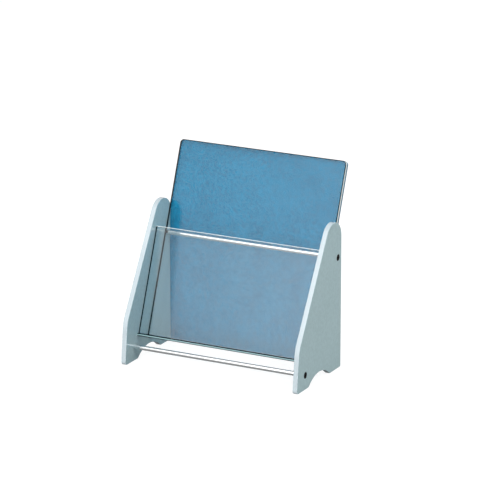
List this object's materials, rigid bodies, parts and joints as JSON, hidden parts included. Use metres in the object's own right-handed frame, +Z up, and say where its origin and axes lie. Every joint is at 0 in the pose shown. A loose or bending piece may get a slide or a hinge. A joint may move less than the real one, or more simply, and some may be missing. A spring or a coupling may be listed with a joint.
{
  "type": "brochure stand",
  "caption": "Desk stand for A4 leaflets: clear leaning pocket with shelf between light grey side panels on arched feet, blue back board and polished tie rods.",
  "frame": {"origin": "on the table, under the middle of the stand's overall box", "axes": "+Z up, +X to the right seen from the front, +Y to the rear, the way the pocket leans"},
  "size_m": [0.25, 0.1564, 0.2628],
  "materials": {
    "side_panel": "satin light grey moulded sheet with fine edges",
    "back_board": "satin blue sheet with one wide bend",
    "clear_sheet": "clear cast acrylic with polished edges",
    "tie_rod": "polished bright rod",
    "screw": "black oxide"
  },
  "bodies": {
    "root": {"left_side_panel": "side_panel", "right_side_panel": "side_panel", "back_board": "back_board", "back_sheet": "clear_sheet", "front_plate": "clear_sheet", "shelf_plate": "clear_sheet", "rear_tie_rod": "tie_rod", "front_tie_rod": "tie_rod", "rear_left_screw": "screw", "rear_right_screw": "screw", "front_left_screw": "screw", "front_right_screw": "screw"}
  },
  "joints": []
}
